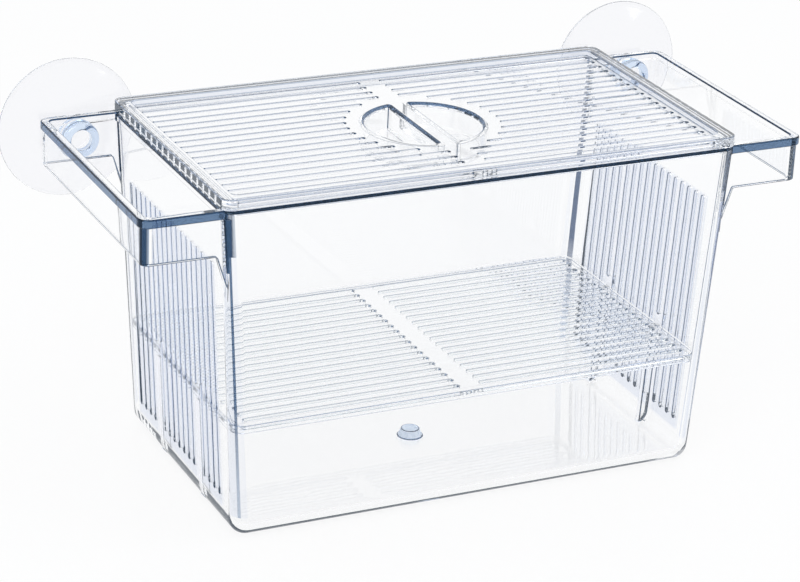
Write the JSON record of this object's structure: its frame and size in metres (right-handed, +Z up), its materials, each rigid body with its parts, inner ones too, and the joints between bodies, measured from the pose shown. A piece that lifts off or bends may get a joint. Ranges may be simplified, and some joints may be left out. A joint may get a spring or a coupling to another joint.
{
  "type": "fish breeding box",
  "caption": "Clear hang-on fish breeding box: slotted tank with open wing frames, slotted lid with finger wells, slotted fry tray and suction cups.",
  "frame": {"origin": "centre of the tank's flat underside, which is the face the box stands on", "axes": "+X along the box from wing to wing, +Y towards the aquarium glass and the suction cups, +Z up"},
  "size_m": [0.2734, 0.1146, 0.14],
  "materials": {
    "clear_shell": "clear moulded plastic with polished faces and blue-tinted edges",
    "clear_lid": "clear moulded plastic with polished faces and blue-tinted edges",
    "clear_tray": "clear moulded plastic with polished faces",
    "soft_clear": "soft clear PVC, smooth and slightly milky"
  },
  "bodies": {
    "tank": {"tank": "clear_shell"},
    "lid": {"lid": "clear_lid"},
    "tray": {"tray": "clear_tray"},
    "left_cup": {"left_suction_cup": "soft_clear"},
    "right_cup": {"right_suction_cup": "soft_clear"}
  },
  "joints": [
    {"name": "lid_lift", "type": "slide", "parent": "tank", "child": "lid", "axis": [0, 0, 1], "range_m": [0, 0.06]},
    {"name": "tray_lift", "type": "slide", "parent": "tank", "child": "tray", "axis": [0, 0, 1], "range_m": [0, 0.068]},
    {"name": "left_cup_turn", "type": "hinge", "parent": "tank", "child": "left_cup", "pos_m": [-0.111, 0.05, 0.1143], "axis": [0, 1, 0], "continuous": true},
    {"name": "right_cup_turn", "type": "hinge", "parent": "tank", "child": "right_cup", "pos_m": [0.111, 0.05, 0.1143], "axis": [0, 1, 0], "continuous": true}
  ]
}
